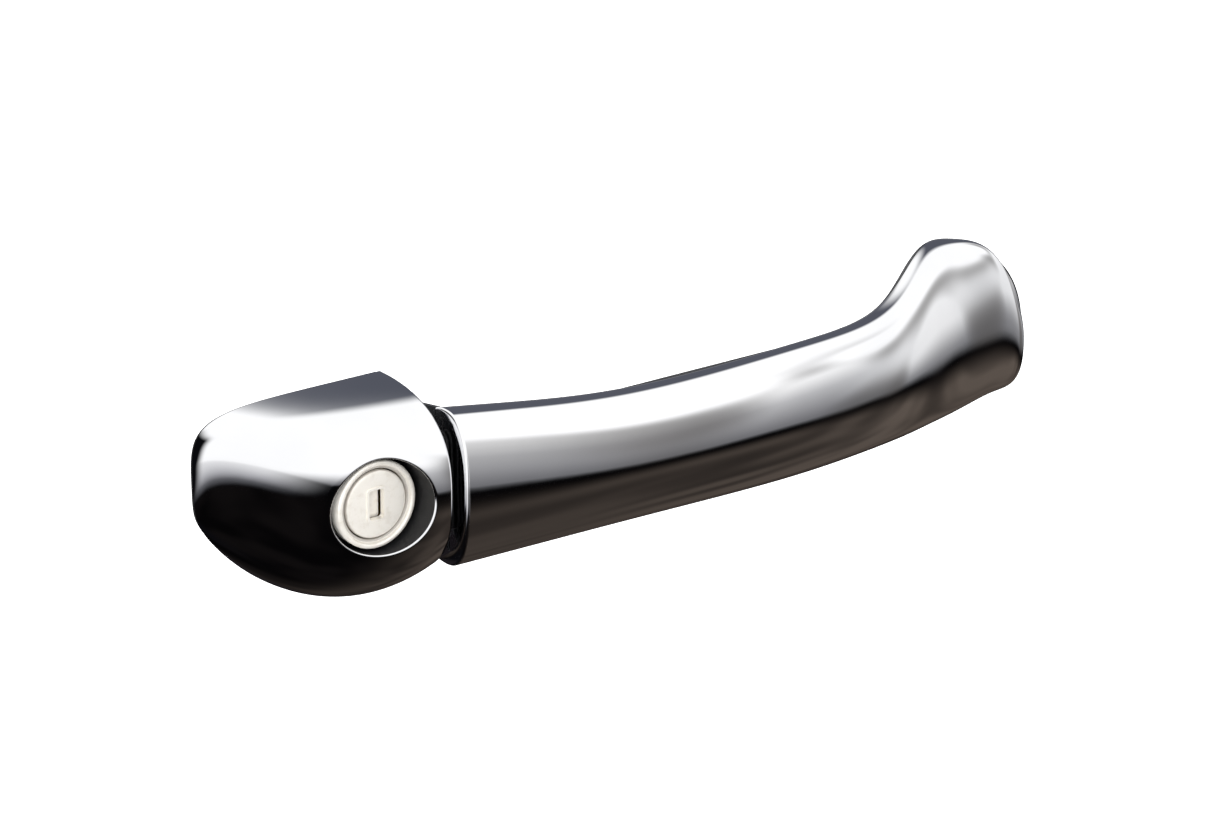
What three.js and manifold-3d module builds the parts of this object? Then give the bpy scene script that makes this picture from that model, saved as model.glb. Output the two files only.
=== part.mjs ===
// Outside door handle of a car: a chromed pull grip that swings on a front pivot,
// a fixed chromed lock cap, and the carrier, bell crank and key lock behind them.
// Millimetres. +X runs forwards along the handle to the pivot foot, +Y into the door, +Z up.
// The origin lies on the inner face of the door skin, at the seam between cap and grip.
import * as THREE from 'three';
import { mergeVertices } from 'three/addons/utils/BufferGeometryUtils.js';
import Module from 'manifold-3d';

const wasm = await Module();
wasm.setup();

// ---- driving dimensions -------------------------------------------------------------
const GAP = 0.3;                 // clearance between pieces that touch
const SKIN = 0.9;                // door skin thickness
const OUTER = -SKIN;             // outer face of the door skin
const SEAL = 1.0;                // thickness of the rubber seals on the skin
const BASE = OUTER - SEAL - GAP; // where the cap and the foot end above the door
const WALL = 2.2;                // wall of the plated mouldings

const CAP_LENGTH = 49;
const CAP_DEPTH = 28.3;          // stand-off of the cap at the seam
const CAP_TOP = 21.3;            // height of the cap above and below mid height at the seam
const CAP_BOTTOM = 21.2;
const CAP_BELLY = 32;            // how much the lower outline swells between seam and nose
const LOCK_X = -15.5;            // lock axis, parallel to Y, at mid height
const LOCK_FACE = -22.9;         // outermost face of the lock
const LOCK_R = 10;               // visible face of the lock
const PLUG_R = 7.7;
const RECESS_R = 11;

const PIVOT = { x: 191, y: 9 };            // grip hinge, parallel to Z
const CRANK = { y: 14, z: -14, arm: 17.7 };  // bell-crank hinge, parallel to X
const CRANK_REST = THREE.MathUtils.degToRad(38); // lean of the crank arm into the door
const LEG = { low: 9.3, high: 14.7 };      // X extent of the grip's rear leg

// The grip at eight stations from the seam to the foot, measured from the door's outer
// face: outer point x and stand-off, inner point x and stand-off, half height, centre
// height, the roundness exponent of the section, and how far its outer point leans up.
const GRIP = [
  [1.8, 30.8, 1.8, 13.1, 18, 0, 2.6, 0],
  [45, 36.1, 45, 19.3, 15.2, -0.9, 2.2, 0],
  [90, 38.1, 90, 21.6, 15.7, -0.2, 2.15, 0],
  [125, 33.5, 123, 18, 16.4, 0, 2.15, 0],
  [150.8, 22, 146, 6.5, 21.8, 2.2, 2.2, -2.3],
  [171.8, 16.6, 154.9, 0.6, 21.2, 1, 2.8, 0.4],
  [183.2, 11.8, 160.1, 0, 15.6, -1, 2.36, -8.2],
  [193.1, 0, 162, 0, 17.4, -2.3, 2.38, -7.9],
];

// ---- finishes -----------------------------------------------------------------------
const finish = (color, roughness, metalness) => ({ color, roughness, metalness });
const CHROME = finish(0xd8dadd, 0.06, 1);
const SATIN = finish(0xcfc8ba, 0.3, 1);
const ZINC = finish(0x9a9c9d, 0.45, 1);
const STEEL = finish(0xa9a79c, 0.35, 1);
const BRASS = finish(0xb8954a, 0.3, 1);
const SPRING = finish(0x6e6f72, 0.3, 1);
const NYLON = finish(0x1c1d1f, 0.6, 0);
const LINER = finish(0x202124, 0.45, 0);
const RUBBER = finish(0x0e0e0f, 0.85, 0);
const ACETAL = finish(0xd9d6cc, 0.4, 0);

// ---- solids -------------------------------------------------------------------------
function toSolid(geometry) {
  const bare = geometry.clone();
  bare.deleteAttribute('normal');
  bare.deleteAttribute('uv');
  const merged = mergeVertices(bare, 1e-4);
  const mesh = new wasm.Mesh({
    numProp: 3,
    vertProperties: new Float32Array(merged.attributes.position.array),
    triVerts: new Uint32Array(merged.index.array),
  });
  return new wasm.Manifold(mesh);
}

function toGeometry(solid) {
  const { vertProperties, triVerts } = solid.getMesh();
  const geometry = new THREE.BufferGeometry();
  geometry.setAttribute('position', new THREE.BufferAttribute(vertProperties, 3));
  geometry.setIndex(new THREE.BufferAttribute(triVerts, 1));
  geometry.computeVertexNormals();
  return geometry;
}

const join = (...solids) => solids.reduce((sum, next) => sum.add(next));
const cut = (solid, ...tools) => tools.reduce((left, tool) => left.subtract(tool), solid);

function box(x, y, z) {
  const geometry = new THREE.BoxGeometry(x[1] - x[0], y[1] - y[0], z[1] - z[0]);
  geometry.translate((x[0] + x[1]) / 2, (y[0] + y[1]) / 2, (z[0] + z[1]) / 2);
  return toSolid(geometry);
}

// Turns a shape made along +Y so that it runs along the named axis, then moves it.
function place(geometry, axis, at) {
  if (axis === 'x') geometry.rotateZ(-Math.PI / 2);
  if (axis === 'z') geometry.rotateX(Math.PI / 2);
  geometry.translate(...at);
  return toSolid(geometry);
}

// A round bar from its start point, along an axis.
function rod(axis, at, length, radius, sides = 24, endRadius = radius) {
  const geometry = new THREE.CylinderGeometry(endRadius, radius, length, sides);
  geometry.translate(0, length / 2, 0);
  return place(geometry, axis, at);
}

const tube = (axis, at, length, outer, inner, sides = 24) =>
  place(new THREE.LatheGeometry([
    [inner, 0], [outer, 0], [outer, length], [inner, length], [inner, 0],
  ].map(([r, h]) => new THREE.Vector2(r, h)), sides), axis, at);

// A flat outline of [y, z] points, drawn out along X from one plane to another.
function plateX(points, from, to) {
  const shape = new THREE.Shape(points.map(([y, z]) => new THREE.Vector2(y, z)));
  const geometry = new THREE.ExtrudeGeometry(shape, { depth: to - from, bevelEnabled: false });
  geometry.applyMatrix4(new THREE.Matrix4().set(0, 0, 1, from, 1, 0, 0, 0, 0, 1, 0, 0, 0, 0, 0, 1));
  return toSolid(geometry);
}

// A flat outline of [x, z] points, drawn out along Y from one plane to another.
function plateY(points, from, to) {
  const shape = new THREE.Shape(points.map(([x, z]) => new THREE.Vector2(x, -z)));
  const geometry = new THREE.ExtrudeGeometry(shape, { depth: to - from, bevelEnabled: false });
  geometry.applyMatrix4(new THREE.Matrix4().set(1, 0, 0, 0, 0, 0, 1, from, 0, -1, 0, 0, 0, 0, 0, 1));
  return toSolid(geometry);
}

// Points round a circle from one angle to another.
function arc(cx, cz, radius, from, to, steps) {
  return Array.from({ length: steps + 1 }, (_, i) => {
    const a = from + (to - from) * i / steps;
    return [cx + radius * Math.cos(a), cz + radius * Math.sin(a)];
  });
}

// A closed skin over rings of equal length, with a fan over each end.
function loft(rings) {
  const count = rings[0].length;
  const points = rings.flat();
  const faces = [];
  for (let i = 0; i + 1 < rings.length; i++) {
    for (let j = 0; j < count; j++) {
      const a = i * count + j;
      const b = i * count + (j + 1) % count;
      faces.push(a, a + count, b, b, a + count, b + count);
    }
  }
  for (const [ring, flip] of [[0, false], [rings.length - 1, true]]) {
    const middle = rings[ring].reduce((sum, p) => sum.add(p.clone().divideScalar(count)), new THREE.Vector3());
    const hub = points.push(middle) - 1;
    for (let j = 0; j < count; j++) {
      const edge = [ring * count + j, ring * count + (j + 1) % count];
      faces.push(...(flip ? edge.reverse() : edge), hub);
    }
  }
  const geometry = new THREE.BufferGeometry().setFromPoints(points);
  geometry.setIndex(faces);
  return geometry;
}

// A wire coil: rings of wire section along a helix about the X or Y axis.
function coil(axis, at, radius, wire, turns, pitch, legs) {
  const steps = Math.round(Math.abs(turns) * 10);
  const path = Array.from({ length: steps + 1 }, (_, i) => {
    const a = 2 * Math.PI * turns * i / steps;
    return new THREE.Vector3(radius * Math.cos(a), pitch * turns * i / steps, radius * Math.sin(a));
  });
  const curve = new THREE.CatmullRomCurve3([...legs.start, ...path, ...legs.end]);
  const section = new THREE.Shape(arc(0, 0, wire / 2, 0, 2 * Math.PI, 6).slice(0, 6)
    .map(([x, y]) => new THREE.Vector2(x, y)));
  const length = steps + 2 * (legs.start.length + legs.end.length);
  return place(new THREE.ExtrudeGeometry(section, { steps: length, extrudePath: curve }), axis, at);
}

// ---- lock cap -----------------------------------------------------------------------
// An edge that falls from its full size at the seam to nothing at the nose.
const capEdge = (u, size, sharpness) => size * Math.pow(1 - Math.pow(u, sharpness), 1 / sharpness);

// One arched section of the cap at a share u of the way from seam to nose. Its ridge
// climbs towards the nose, and it is rounder above the ridge than below.
function capRing(u, x, inset, base) {
  const top = capEdge(u, CAP_TOP - inset, 6);
  const bottom = -capEdge(u, CAP_BOTTOM - inset + CAP_BELLY * u * (1 - u), 1.85);
  const depth = capEdge(u, CAP_DEPTH - inset, 1.6);
  const ridge = bottom + (top - bottom) * (0.51 + 0.29 * u);
  const arch = Array.from({ length: 17 }, (_, j) => {
    const a = Math.PI * (j / 16 - 0.5);
    const power = 2 / (a > 0 ? 2.6 - 0.3 * u : 2.85 - 0.85 * u);
    const rise = Math.pow(Math.abs(Math.sin(a)), power);
    const out = OUTER - depth * Math.pow(Math.max(0, Math.cos(a)), power);
    const z = ridge + (a > 0 ? top - ridge : bottom - ridge) * rise;
    return new THREE.Vector3(x, Math.min(out, base - 0.05), z);
  });
  return [new THREE.Vector3(x, base, bottom), ...arch, new THREE.Vector3(x, base, top)];
}

// The cap as a solid; an inset makes the hollow behind it.
function capSolid(inset, seamEnd, base, stations = 14) {
  const rings = [];
  for (let i = stations; i >= 0; i--) {
    const u = Math.sin(Math.PI / 2 * i / stations) * 0.992;
    rings.push(capRing(u, seamEnd - u * (CAP_LENGTH - inset + seamEnd), inset, base));
  }
  return toSolid(loft(rings));
}

const lockAxis = (y) => [LOCK_X, y, 0];

function capShell() {
  const outside = capSolid(0, 0, BASE);
  const hollow = capSolid(WALL, -WALL, 1);
  const collar = rod('y', lockAxis(-40), 36, RECESS_R + 1.8, 28).intersect(outside);
  const recess = rod('y', lockAxis(-41), 60, RECESS_R, 28);
  const tab = box([-42.5, -39], [-14, 2.2], [-2.6, 2.6]).intersect(join(
    capSolid(WALL / 2, 0, BASE), box([-45, -35], [BASE - 1, 5], [-5, 5])));
  return join(cut(join(cut(outside, hollow), collar), recess), tab);
}

function capSeal() {
  const ring = cut(capSolid(0.4, -0.3, 5), capSolid(3.6, -3.4, 6));
  const slab = box([-60, 10], [OUTER - SEAL, OUTER], [-30, 30]);
  const channel = box([-43.5, -38], [-5, 5], [-3.4, 3.4]);
  return cut(ring.intersect(slab), channel);
}

function seamBuffer() {
  return plateX([...arc(-20, 9, 3, 0, Math.PI, 6), ...arc(-20, -9, 3, Math.PI, 2 * Math.PI, 6)], GAP, 1.2);
}

// ---- lock ---------------------------------------------------------------------------
function lockRing() {
  const profile = [
    [PLUG_R + GAP, 0.9], [PLUG_R + 0.9, 0.3], [LOCK_R - 0.5, 0], [LOCK_R, 0.5], [LOCK_R, 3],
    [PLUG_R + GAP, 3], [PLUG_R + GAP, 0.9],
  ].map(([r, h]) => new THREE.Vector2(r, h));
  return place(new THREE.LatheGeometry(profile, 36), 'y', lockAxis(LOCK_FACE));
}

const PLUG_END = 20;
const FLANGE_R = 12.5;
const CLAMP_Y = 6.5;   // depth of the clamp screw that holds the lock in the carrier

function lockHousing() {
  const start = LOCK_FACE + 3 + GAP;
  const body = tube('y', lockAxis(start), PLUG_END - start, LOCK_R, PLUG_R + GAP, 28);
  const flange = tube('y', lockAxis(4), 5, FLANGE_R, PLUG_R + GAP, 28);
  const groove = tube('y', lockAxis(start + 3), 2, LOCK_R + 1, LOCK_R - 1.2, 28);
  const dimple = rod('x', [LOCK_X - FLANGE_R - 3, CLAMP_Y, 0], 4.8, 2.4, 14);
  const post = box([LOCK_X + 8.2, LOCK_X + 9.6], [PLUG_END - 1, PLUG_END + 3.4], [-1.6, 1.6]);
  return cut(join(body, flange, post), groove, dimple);
}

function lockSealRing() {
  const y = LOCK_FACE + 6 + 2 * GAP;
  return tube('y', lockAxis(y), 2 - 2 * GAP, RECESS_R - GAP, LOCK_R - 0.9, 32);
}

const SLOT = { half: 1.9, tall: 3.4 };
const waferPlaces = [-10, -6, -2, 2];

function plugFace() {
  const disc = rod('y', lockAxis(LOCK_FACE + 0.5), 1.2, PLUG_R, 36);
  return cut(disc, box([LOCK_X - SLOT.half, LOCK_X + SLOT.half], [-40, 0], [-SLOT.tall, SLOT.tall]));
}

function lockPlug() {
  const front = LOCK_FACE + 1.7 + GAP;
  const body = rod('y', lockAxis(front), PLUG_END - front, PLUG_R, 32);
  const nose = rod('y', lockAxis(PLUG_END - 1), 8, 4.5, 20);
  const spigot = rod('y', lockAxis(PLUG_END + 6), 7, 3.6, 20)
    .intersect(box([LOCK_X - 2.2, LOCK_X + 2.2], [0, 60], [-5, 5]));
  const clipGroove = tube('y', lockAxis(PLUG_END + 10.5), 1.2, 6, 2.9, 20);
  const shutterBay = box([LOCK_X - 2.4, LOCK_X + 2.4], [-40, front + 9.7], [-4.4, 5.4]);
  const keyway = box([LOCK_X - 1.3, LOCK_X + 1.3], [-40, 12], [-4, 3.6]);
  const pinHole = rod('x', [LOCK_X - 4.2, front + 1.4, 4.2], 8.4, 0.75, 10);
  const slots = waferPlaces.map((y) => box([LOCK_X - 2.4, LOCK_X + 2.4], [y, y + 1.4], [-6.4, 6.4]));
  return cut(join(body, nose, spigot), clipGroove, shutterBay, keyway, pinHole, ...slots);
}

function wafer(y) {
  const plate = box([LOCK_X - 2.1, LOCK_X + 2.1], [y + GAP, y + 1.4 - GAP], [-6.1, 6.1]);
  return cut(plate, box([LOCK_X - 1.3, LOCK_X + 1.3], [y - 1, y + 3], [-4, 3.6]));
}

const SHUTTER = { y: LOCK_FACE + 3.4, z: 4.2 };

function keyShutter() {
  const flap = box([LOCK_X - 1.7, LOCK_X + 1.7], [SHUTTER.y - 1.05, SHUTTER.y - 0.15], [-3.6, 3.4]);
  const barrel = rod('x', [LOCK_X - 1.7, SHUTTER.y, SHUTTER.z], 3.4, 1.05, 14);
  return cut(join(flap, barrel), rod('x', [LOCK_X - 3, SHUTTER.y, SHUTTER.z], 6, 0.6, 10));
}

const shutterPin = () => rod('x', [LOCK_X - 3.9, SHUTTER.y, SHUTTER.z], 7.8, 0.5, 10);

// The lever on the end of the plug; a rod from its eye works the latch.
function lockLever() {
  const y = PLUG_END + 7.3;
  const outline = [...arc(LOCK_X, 0, 5.6, 0, Math.PI, 12), ...arc(LOCK_X, -20, 3.6, Math.PI, 2 * Math.PI, 8)];
  const spigotHole = box([LOCK_X - 2.5, LOCK_X + 2.5], [y - 1, y + 4], [-3.9, 3.9]);
  return cut(plateY(outline, y, y + 2.9), spigotHole, rod('y', [LOCK_X, y - 1, -20], 5, 1.8, 16));
}

function lockClip() {
  const ring = tube('y', lockAxis(PLUG_END + 10.7), 0.8, 5.4, 3.15, 20);
  return cut(ring, box([LOCK_X - 6, LOCK_X + 6], [PLUG_END, PLUG_END + 14], [2, 8]));
}

function plugSpring() {
  const legs = {
    start: [new THREE.Vector3(8.2, 0.2, -5.4), new THREE.Vector3(6.2, 0, -2.6)],
    end: [new THREE.Vector3(-5.4, 4.7, 3), new THREE.Vector3(-6.2, 4.9, 6.2)],
  };
  return coil('y', lockAxis(PLUG_END + 1), 5.7, 1, 3.5, 1.3, legs);
}

// ---- grip ---------------------------------------------------------------------------
// Station values at a share t of the way from seam to foot, by a smooth cubic.
function gripAt(t, rows = GRIP) {
  const last = rows.length - 1;
  const k = Math.min(Math.floor(t * last), last - 1);
  const f = t * last - k;
  return rows[k].map((p1, c) => {
    const p2 = rows[k + 1][c];
    const p0 = k > 0 ? rows[k - 1][c] : 2 * p1 - p2;
    const p3 = k + 2 <= last ? rows[k + 2][c] : 2 * p2 - p1;
    return 0.5 * (2 * p1 + (p2 - p0) * f + (2 * p0 - 5 * p1 + 4 * p2 - p3) * f * f
      + (3 * p1 - p0 - 3 * p2 + p3) * f * f * f);
  });
}

// One rounded section, drawn in by an inset; cutFrom..cutTo keeps a slice of its depth.
function gripRing(t, inset, cutFrom, cutTo, sides) {
  const [ox, oy, ix, iy, half, centre, roundness, lean] = gripAt(t);
  const depth = Math.hypot(ox - ix, oy - iy) / 2;
  const scale = (depth - inset) / depth;
  return Array.from({ length: sides }, (_, j) => {
    const a = 2 * Math.PI * j / sides;
    const c = Math.sign(Math.cos(a)) * Math.pow(Math.abs(Math.cos(a)), 2 / roundness) * scale;
    const s = Math.sign(Math.sin(a)) * Math.pow(Math.abs(Math.sin(a)), 2 / roundness);
    const across = Math.min(cutTo, Math.max(cutFrom, c));
    const reach = Math.pow(Math.max(0, 1 - Math.pow(Math.abs(across / scale), roundness)), 1 / roundness);
    const rise = across === c ? s : Math.sign(s) * Math.min(Math.abs(s), reach);
    const x = (ox + ix) / 2 + (ox - ix) / 2 * across;
    const y = OUTER - (oy + iy) / 2 - (oy - iy) / 2 * across;
    return new THREE.Vector3(x, y, centre + (half - inset) * rise + lean * across);
  });
}

function gripSolid(inset, from, to, cutFrom, cutTo, steps, sides) {
  const rings = Array.from({ length: steps + 1 }, (_, i) =>
    gripRing(from + (to - from) * i / steps, inset, cutFrom, cutTo, sides));
  return toSolid(loft(rings));
}

const ARM = { low: -13.5, high: -4.5 };        // Z extent of the pivot arm
const linerScrews = [[24, -17.6], [96, -21.9]]; // X, and Y of the liner face there
const PARTING = -0.35;  // share of the section depth where shell and liner meet
const aboveDoor = () => box([-10, 230], [-60, BASE], [-40, 40]);

function gripShell() {
  const outside = gripSolid(0, 0, 1, PARTING, 2, 26, 24).intersect(aboveDoor());
  const hollow = gripSolid(WALL, 0.0075, 1, -2, 2, 20, 16);
  return cut(outside, hollow);
}

function gripLiner() {
  const outside = gripSolid(0, 0, 1, -2, PARTING - 0.04, 26, 24).intersect(aboveDoor());
  const core = gripSolid(WALL, 0.0075, 0.9, PARTING - 0.35, 2, 18, 16);
  const legWindow = box([LEG.low - GAP, LEG.high + GAP], [-30, 0], [-6 - GAP, 5 + GAP]);
  const armWindow = box([164, 200], [-14, 0], [ARM.low - 2.5, ARM.high + GAP]);
  const screwSeats = linerScrews.map(([x, y]) => join(
    rod('y', [x, y - 9, 0], 12, 1.9, 14), rod('y', [x, y - 1.6, 0], 6, 3.6, 18)));
  return cut(outside, core, legWindow, armWindow, ...screwSeats);
}

// The rear leg bolts into the grip behind the seam and reaches through the door skin. A
// fork at its end, open upwards, draws the finger of the bell crank outwards.
function pullLeg() {
  const shank = box([LEG.low, LEG.high], [-23, 31], [-6, 5]);
  const foot = box([LEG.low - 3, 30], [-25.5, -22.6], [-8, 8]);
  const tip = { y: CRANK.y + CRANK.arm * Math.sin(CRANK_REST), z: CRANK.z + CRANK.arm * Math.cos(CRANK_REST) };
  const fork = box([0, 20], [tip.y - 3.1, tip.y + 3.1], [tip.z - 2.8, 20]);
  const screwHole = rod('y', [linerScrews[0][0], -40, 0], 40, 1.9, 14);
  return { body: cut(join(shank, foot), fork, screwHole), tip };
}

function pivotArm() {
  const outline = [
    [168, -11], [168, -7.5], [174, -6], [177, 3], [183, 12.4], ...arc(PIVOT.x, PIVOT.y, 5, 2.4, -1.6, 12),
    [182.4, -2], [180, -8], [175, -11],
  ];
  const shape = new THREE.Shape(outline.map(([x, y]) => new THREE.Vector2(x, y)));
  const slab = new THREE.ExtrudeGeometry(shape, { depth: ARM.high - ARM.low, bevelEnabled: false });
  slab.translate(0, 0, ARM.low);
  return cut(toSolid(slab), rod('z', [PIVOT.x, PIVOT.y, -30], 60, 3.9, 20));
}

const pivotBush = () => tube('z', [PIVOT.x, PIVOT.y, ARM.low], ARM.high - ARM.low, 3.6, 2.4, 20);

// A pan-head screw with a hexagon socket, from its head along an axis.
function screw(axis, at, head, length, radius) {
  const along = { x: [1, 0, 0], y: [0, 1, 0], z: [0, 0, 1] }[axis];
  const step = (distance) => at.map((value, i) => value + along[i] * distance);
  const side = Math.sign(length);
  const from = (distance, span) => step(side > 0 ? distance : -distance - span);
  const top = rod(axis, from(0, head.thick), head.thick, head.radius, 18);
  const shank = rod(axis, from(head.thick - 0.1, side * length), side * length, radius, 14);
  const socket = rod(axis, from(-1, 1 + head.thick * 0.6), 1 + head.thick * 0.6, head.radius * 0.5, 6);
  return cut(join(top, shank), socket);
}

// ---- bell crank ---------------------------------------------------------------------
const crankHub = (length, outer, inner) => tube('x', [8.4, CRANK.y, CRANK.z], length, outer, inner, 24);

function crankLever(tip) {
  const { y, z } = CRANK;
  const lift = Math.atan2(tip.z - z, tip.y - y);
  const arm = [
    ...arc(y, z, 5, lift + Math.PI / 2, lift + 1.5 * Math.PI, 8),
    ...arc(tip.y, tip.z, 3.4, lift - Math.PI / 2, lift + Math.PI / 2, 8),
  ];
  const cableArm = [...arc(y, z, 4.6, Math.PI / 2, 1.5 * Math.PI, 8), ...arc(y + 13, z, 3.4, -Math.PI / 2, Math.PI / 2, 8)];
  const tail = [[y - 5, z], [y - 5, z - 14.6], [y + 5, z - 14.6], [y + 5, z]];
  const plate = join(plateX(arm, 16.2, 19), plateX(cableArm, 16.2, 19), plateX(tail, 16.2, 19));
  const slot = box([10, 20], [y + 11.2, y + 14.8], [z - 1.8, z + 1.8]);
  const mouth = box([10, 20], [y + 12.2, y + 13.8], [z - 6, z]);
  const rivetHole = rod('x', [10, y, z - 11.5], 12, 1.8, 14);
  const fingerHole = rod('x', [10, tip.y, tip.z], 12, 1.9, 14);
  const hub = crankHub(10.6, 5, 3.3);
  return cut(join(plate, hub), slot, mouth, rivetHole, fingerHole, rod('x', [0, y, z], 30, 3.3, 24));
}

function counterweight() {
  const { y, z } = CRANK;
  const block = box([8.6, 15.9], [y - 5.4, y + 5.4], [z - 14.9, z - 7.4]);
  return cut(block, rod('x', [0, y, z - 11.5], 30, 1.8, 14));
}

const crankFinger = (tip) => join(
  rod('x', [9.6, tip.y, tip.z], 10.2, 1.6, 16),
  rod('x', [9.6, tip.y, tip.z], 6.3, 2.2, 16),
  rod('x', [19.3, tip.y, tip.z], 0.8, 2.6, 16));

const counterweightRivet = () => join(
  rod('x', [8, CRANK.y, CRANK.z - 11.5], 11.9, 1.5, 14),
  rod('x', [7.4, CRANK.y, CRANK.z - 11.5], 0.9, 2.8, 14),
  rod('x', [19.3, CRANK.y, CRANK.z - 11.5], 0.9, 2.8, 14));

// Wound against the lever: one end bears on the carrier's ear, the other on the weight.
function crankSpring() {
  const legs = {
    start: [new THREE.Vector3(6.2, -4.2, 8), new THREE.Vector3(6.2, -0.7, 7.6), new THREE.Vector3(6.2, -0.1, 4)],
    end: [new THREE.Vector3(-4, 5.9, -6.3), new THREE.Vector3(-7.4, 5.9, -6.9), new THREE.Vector3(-7.6, 5.9, -10)],
  };
  return coil('x', [9.2, CRANK.y, CRANK.z], 6.2, 1, -4.25, -1.4, legs);
}

// ---- carrier ------------------------------------------------------------------------
const EAR = { near: [4.6, 7.6], far: [20.6, 23.6] };
const earOutline = () => [[2, -18], [2, -6], ...arc(CRANK.y, CRANK.z, 5.5, Math.PI / 2, -Math.PI / 2, 10)];

function plateZ(points, from, to) {
  const shape = new THREE.Shape(points.map(([x, y]) => new THREE.Vector2(x, y)));
  const geometry = new THREE.ExtrudeGeometry(shape, { depth: to - from, bevelEnabled: false });
  geometry.translate(0, 0, from);
  return toSolid(geometry);
}

const SET_BACK = 0.3;   // the carrier's face clears the skin between its three seat pads
const SEATS = [[[-0.25, 4.5], [-2.5, 2.5]], [[148, 156], [-14, -6]], [[-34, -29.5], [-11.5, -5.5]]];
const LUGS = [[-18, -14.2], [-3.8, -0.6]];
const SKIN_SCREW = { x: -30, z: 9.5 };
const lugOutline = () => [[176, SET_BACK], [188, SET_BACK], [195, 5], ...arc(PIVOT.x, PIVOT.y, 5.4, -0.6, Math.PI * 0.75, 10), [178, 3]];

function carrierFrame() {
  const face = plateY([
    [-29, -17], [-36, -10], [-36, 10], [-31, 16], [-2, 16], [24, 5], [24, -2], [160, -2], [160, -0.6], [188, -0.6],
    [188, -18], [160, -18], [160, -17],
  ], SET_BACK, 3);
  const pads = SEATS.map(([x, z]) => box(x, [0, 1], z));
  const rails = [[-4.4, -2], [-17, -14.6]].map((z) => box([23, 176], [2.5, 8], z));
  const ribs = [40, 64, 88, 112, 136, 158].map((x) => box([x, x + 2], [2.5, 7], [-15, -4]));
  const ears = [EAR.near, EAR.far].map(([a, b]) => plateX(earOutline(), a, b));
  const lugs = LUGS.map(([low, high]) => plateZ(lugOutline(), low, high));
  const lockSleeve = tube('y', lockAxis(2), 8, FLANGE_R + 2.6, FLANGE_R + GAP, 28);
  const clampBoss = rod('x', [-36.5, CLAMP_Y, 0], 8, 4.8, 18);
  const screwBoss = rod('y', [SKIN_SCREW.x, 2, SKIN_SCREW.z], 4.5, 4.6, 18);
  const cableArm = join(box([20.6, 23.6], [2, 14], [-30, -15]), box([20.6, 23.6], [12, 32.5], [-34, -28]),
    box([7.6, 21], [23.5, 32.5], [-34, -30.6]));
  const frame = join(face, ...pads, ...rails, ...ribs, ...ears, ...lugs, lockSleeve, clampBoss, screwBoss, cableArm);
  return cut(frame,
    rod('y', lockAxis(-5), 30, FLANGE_R + GAP, 28),
    box([LEG.low - 1.6, LEG.high + 6.4], [-2, 4], [-8, 7.2]),
    box([8, 20.2], [-1, 5], [-16.2, -6]),
    box([165, 200], [-1, 9], [LUGS[0][1], LUGS[1][0]]),
    rod('z', [PIVOT.x, PIVOT.y, -40], 60, 2.6, 18),
    rod('x', [0, CRANK.y, CRANK.z], 40, 2.6, 18),
    rod('x', [-50, CLAMP_Y, 0], 25, 3.4, 18),
    rod('y', [SKIN_SCREW.x, -2, SKIN_SCREW.z], 12, 3.4, 18),
    cableSocket());
}

// The keyhole notch that takes the end fitting of the latch cable.
const CABLE = { x: 12.6, y: 28 };
const cableSocket = () => join(
  rod('z', [CABLE.x, CABLE.y, -40], 10, 3.3, 20),
  box([0, CABLE.x], [CABLE.y - 2.6, CABLE.y + 2.6], [-40, -30]));

const cableClip = () => cut(
  tube('z', [CABLE.x, CABLE.y, -30.3], 3, 4.4, 2.9, 20),
  box([0, CABLE.x], [CABLE.y - 2.4, CABLE.y + 2.4], [-40, -20]));

const clampScrew = () => screw('x', [-40, CLAMP_Y, 0], { thick: 2.4, radius: 3.8 }, 11.5, 1.9);
const clampInsert = () => tube('x', [-36.2, CLAMP_Y, 0], 7, 3.1, 2.2, 20);
const skinScrew = () => screw('y', [SKIN_SCREW.x, OUTER - 2.3, SKIN_SCREW.z], { thick: 2.2, radius: 4 }, 8, 1.9);
const skinInsert = () => tube('y', [SKIN_SCREW.x, 0.3, SKIN_SCREW.z], 5.8, 3.1, 2.2, 20);

function headedPin(axis, at, length) {
  const back = { x: [-1.2, 0, 0], z: [0, 0, -1.2] }[axis].map((d, i) => at[i] + d);
  return join(rod(axis, at, length, 2.3, 20), rod(axis, back, 1.3, 3.6, 20));
}

const pivotPin = () => headedPin('z', [PIVOT.x, PIVOT.y, LUGS[0][0] - GAP], 19.6);
const crankPin = () => headedPin('x', [EAR.near[0] - GAP, CRANK.y, CRANK.z], 21);

function eClip(axis, at) {
  const ring = tube(axis, at, 0.8, 4.2, 2.5, 20);
  const mouth = axis === 'x' ? box([at[0] - 1, at[0] + 2], [at[1] - 1.5, at[1] + 1.5], [at[2] - 8, at[2]])
    : box([at[0] - 8, at[0]], [at[1] - 1.5, at[1] + 1.5], [at[2] - 2, at[2] + 2]);
  return cut(ring, mouth);
}

function footSeal() {
  const edge = (inset) => gripRing(1, inset, -2, 2, 32).map((p) => [p.x, p.z]);
  return cut(plateY(edge(0.4), OUTER - SEAL, OUTER), plateY(edge(2.6), -9, 9));
}

const legSeal = () => cut(
  box([LEG.low - 2.6, LEG.high + 6.2], [OUTER - SEAL, OUTER], [-8.6, 8]),
  box([LEG.low - 1, LEG.high + 4.6], [-9, 9], [-7, 6.2]));

// ---- assembly -----------------------------------------------------------------------
const handle = new THREE.Group();

function add(name, solid, look) {
  const mesh = new THREE.Mesh(toGeometry(solid), new THREE.MeshStandardMaterial(look));
  mesh.name = name;
  handle.add(mesh);
}

const { body: leg, tip } = pullLeg();

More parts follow.
